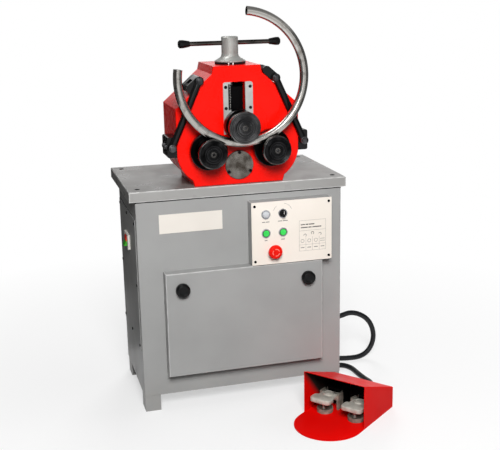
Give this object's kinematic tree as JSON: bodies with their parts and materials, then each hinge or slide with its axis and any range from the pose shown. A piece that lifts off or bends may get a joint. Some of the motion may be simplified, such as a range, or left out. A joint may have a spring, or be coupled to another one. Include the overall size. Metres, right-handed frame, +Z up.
{
  "type": "pipe bending machine",
  "caption": "Electric roll bending machine: red roll head with a T-handle press screw on a grey cabinet, bent steel tube in the rolls, cabled foot switch.",
  "frame": {"origin": "on the floor, in the middle of the cabinet's four anchor holes", "axes": "+X to the right of the operator, +Y to the back, +Z up"},
  "size_m": [0.9006, 0.7989, 1.2642],
  "materials": {
    "grey_paint": "satin",
    "red_paint": "gloss",
    "cream_plate": "satin",
    "blank_plate": "satin",
    "dark_steel": "satin",
    "bright_steel": "polished",
    "inner_steel": "satin",
    "black_paint": "gloss",
    "black_steel": "satin",
    "guide_rubber": "satin",
    "black_plastic": "satin",
    "bezel_chrome": "polished",
    "green_plastic": "gloss",
    "red_plastic": "gloss",
    "lamp_lens": "gloss",
    "white_plastic": "satin",
    "drive_paint": "satin",
    "cast_housing": "matte",
    "cast_aluminium": "satin",
    "cable_rubber": "matte"
  },
  "bodies": {
    "frame": {"cabinet_shell": "grey_paint", "cabinet_back_panel": "grey_paint", "cabinet_base": "grey_paint", "table_top": "grey_paint", "side_cover": "grey_paint", "control_box": "grey_paint", "head_housing": "red_paint", "head_rear_cover": "red_paint", "foot_switch_guard": "red_paint", "control_plate": "cream_plate", "nameplate": "blank_plate", "gear_cover": "bright_steel", "guide_rails": "bright_steel", "door_hinge": "bright_steel", "shaft_bearings": "inner_steel", "arm_brackets": "black_paint", "socket_screws": "black_steel", "panel_screws": "black_steel", "position_scales": "black_plastic", "cable_glands": "black_plastic", "button_bezels": "bezel_chrome", "pilot_lamp": "lamp_lens", "main_switch_body": "white_plastic", "switchgear": "white_plastic", "motor": "drive_paint", "gearbox_housing": "cast_housing", "pedal_supports": "cast_aluminium", "pedal_cable": "cable_rubber"},
    "press_handle": {"press_screw": "bright_steel", "handle_hub": "bright_steel", "tommy_bar": "bright_steel", "bar_end_caps": "black_plastic"},
    "slide": {"slide_block": "bright_steel"},
    "upper_roll_unit": {"upper_shaft": "dark_steel", "upper_roll": "dark_steel"},
    "left_roll_unit": {"left_shaft": "dark_steel", "left_gear": "inner_steel", "left_roll": "dark_steel"},
    "right_roll_unit": {"right_shaft": "dark_steel", "right_gear": "inner_steel", "right_roll": "dark_steel"},
    "pinion_unit": {"pinion_shaft": "inner_steel"},
    "worm_unit": {"worm_shaft": "inner_steel"},
    "pipe_unit": {"bent_pipe": "bright_steel"},
    "left_arm_unit": {"left_guide_arm": "black_paint"},
    "left_fork_unit": {"left_roller_fork": "black_paint"},
    "left_roller_unit": {"left_guide_roller": "guide_rubber"},
    "right_arm_unit": {"right_guide_arm": "black_paint"},
    "right_fork_unit": {"right_roller_fork": "black_paint"},
    "right_roller_unit": {"right_guide_roller": "guide_rubber"},
    "left_button_unit": {"left_button": "green_plastic"},
    "right_button_unit": {"right_button": "green_plastic"},
    "emergency_stop_unit": {"emergency_stop": "red_plastic"},
    "selector_unit": {"selector_knob": "black_plastic"},
    "main_switch_unit": {"main_switch_rocker": "red_plastic"},
    "door_unit": {"access_door": "grey_paint"},
    "left_knob_unit": {"left_door_knob": "black_plastic"},
    "right_knob_unit": {"right_door_knob": "black_plastic"},
    "left_pedal_unit": {"left_pedal": "cast_aluminium"},
    "right_pedal_unit": {"right_pedal": "cast_aluminium"}
  },
  "joints": [
    {"name": "left_roll_spin", "type": "hinge", "parent": "frame", "child": "left_roll_unit", "pos_m": [-0.1, 0, 0.83503], "axis": [0, 1, 0], "continuous": true},
    {"name": "right_roll_spin", "type": "hinge", "parent": "frame", "child": "right_roll_unit", "pos_m": [0.1, 0, 0.83503], "axis": [0, 1, 0], "continuous": true},
    {"name": "pinion_spin", "type": "hinge", "parent": "frame", "child": "pinion_unit", "pos_m": [0, 0, 0.7835], "axis": [0, 1, 0], "continuous": true},
    {"name": "worm_spin", "type": "hinge", "parent": "frame", "child": "worm_unit", "pos_m": [0.063, 0.085, 0.7835], "axis": [0, 0, 1], "continuous": true},
    {"name": "upper_roll_spin", "type": "hinge", "parent": "slide", "child": "upper_roll_unit", "pos_m": [0, 0, 0.909], "axis": [0, 1, 0], "continuous": true},
    {"name": "pipe_feed", "type": "hinge", "parent": "frame", "child": "pipe_unit", "pos_m": [0, -0.224, 1.05645], "axis": [0, 1, 0], "continuous": true},
    {"name": "handle_turn", "type": "hinge", "parent": "frame", "child": "press_handle", "pos_m": [0, -0.086, 1.088], "axis": [0, 0, 1], "range_deg": [-2520, 0]},
    {"name": "slide_travel", "type": "slide", "parent": "frame", "child": "slide", "axis": [0, 0, 1], "range_m": [0, 0.0425]},
    {"name": "left_arm_swing", "type": "hinge", "parent": "frame", "child": "left_arm_unit", "pos_m": [-0.21, 0, 0.849], "axis": [0, -1, 0], "range_deg": [0, 110]},
    {"name": "right_arm_swing", "type": "hinge", "parent": "frame", "child": "right_arm_unit", "pos_m": [0.21, 0, 0.849], "axis": [0, 1, 0], "range_deg": [0, 110]},
    {"name": "left_fork_swivel", "type": "hinge", "parent": "left_arm_unit", "child": "left_fork_unit", "pos_m": [-0.12, 0, 1.0475], "axis": [0, 1, 0], "range_deg": [0, 95]},
    {"name": "right_fork_swivel", "type": "hinge", "parent": "right_arm_unit", "child": "right_fork_unit", "pos_m": [0.12, 0, 1.0475], "axis": [0, 1, 0], "range_deg": [0, 95]},
    {"name": "left_roller_spin", "type": "hinge", "parent": "left_fork_unit", "child": "left_roller_unit", "pos_m": [-0.14566, 0, 1.02519], "axis": [0, 1, 0], "continuous": true},
    {"name": "right_roller_spin", "type": "hinge", "parent": "right_fork_unit", "child": "right_roller_unit", "pos_m": [0.09434, 0, 1.06981], "axis": [0, 1, 0], "continuous": true},
    {"name": "left_button_press", "type": "slide", "parent": "frame", "child": "left_button_unit", "axis": [0, 1, 0], "range_m": [0, 0.003], "stiffness_N_per_m": 600, "springref_m": -0.003},
    {"name": "right_button_press", "type": "slide", "parent": "frame", "child": "right_button_unit", "axis": [0, 1, 0], "range_m": [0, 0.003], "stiffness_N_per_m": 600, "springref_m": -0.003},
    {"name": "emergency_stop_press", "type": "slide", "parent": "frame", "child": "emergency_stop_unit", "axis": [0, 1, 0], "range_m": [0, 0.005]},
    {"name": "selector_turn", "type": "hinge", "parent": "frame", "child": "selector_unit", "pos_m": [0.1218, 0, 0.6314], "axis": [0, 1, 0], "range_deg": [-45, 45]},
    {"name": "main_switch_rock", "type": "hinge", "parent": "frame", "child": "main_switch_unit", "pos_m": [-0.3345, 0, 0.528], "axis": [0, -1, 0], "range_deg": [0, 12]},
    {"name": "door_tilt", "type": "hinge", "parent": "frame", "child": "door_unit", "pos_m": [0, -0.191, 0.134], "axis": [1, 0, 0], "range_deg": [0, 60]},
    {"name": "left_knob_turn", "type": "hinge", "parent": "door_unit", "child": "left_knob_unit", "pos_m": [-0.2045, 0, 0.413], "axis": [0, 1, 0], "range_deg": [0, 90]},
    {"name": "right_knob_turn", "type": "hinge", "parent": "door_unit", "child": "right_knob_unit", "pos_m": [0.2045, 0, 0.413], "axis": [0, -1, 0], "range_deg": [0, 90]},
    {"name": "left_pedal_press", "type": "hinge", "parent": "frame", "child": "left_pedal_unit", "pos_m": [0.28459, -0.37191, 0.04], "axis": [0.632, -0.7749, 0], "range_deg": [0, 6], "stiffness_Nm_per_rad": 8, "springref_deg": -8.02},
    {"name": "right_pedal_press", "type": "hinge", "parent": "frame", "child": "right_pedal_unit", "pos_m": [0.28459, -0.37191, 0.04], "axis": [0.632, -0.7749, 0], "range_deg": [0, 6], "stiffness_Nm_per_rad": 8, "springref_deg": -8.02}
  ],
  "couplings": [
    {"joint": "right_roll_spin", "follows": "left_roll_spin", "ratio": 1},
    {"joint": "pinion_spin", "follows": "left_roll_spin", "ratio": -1.7778},
    {"joint": "worm_spin", "follows": "left_roll_spin", "ratio": -35.556},
    {"joint": "upper_roll_spin", "follows": "left_roll_spin", "ratio": -0.87108},
    {"joint": "pipe_feed", "follows": "left_roll_spin", "ratio": -0.16295},
    {"joint": "slide_travel", "follows": "handle_turn", "m_per_rad": -0.00095493}
  ]
}
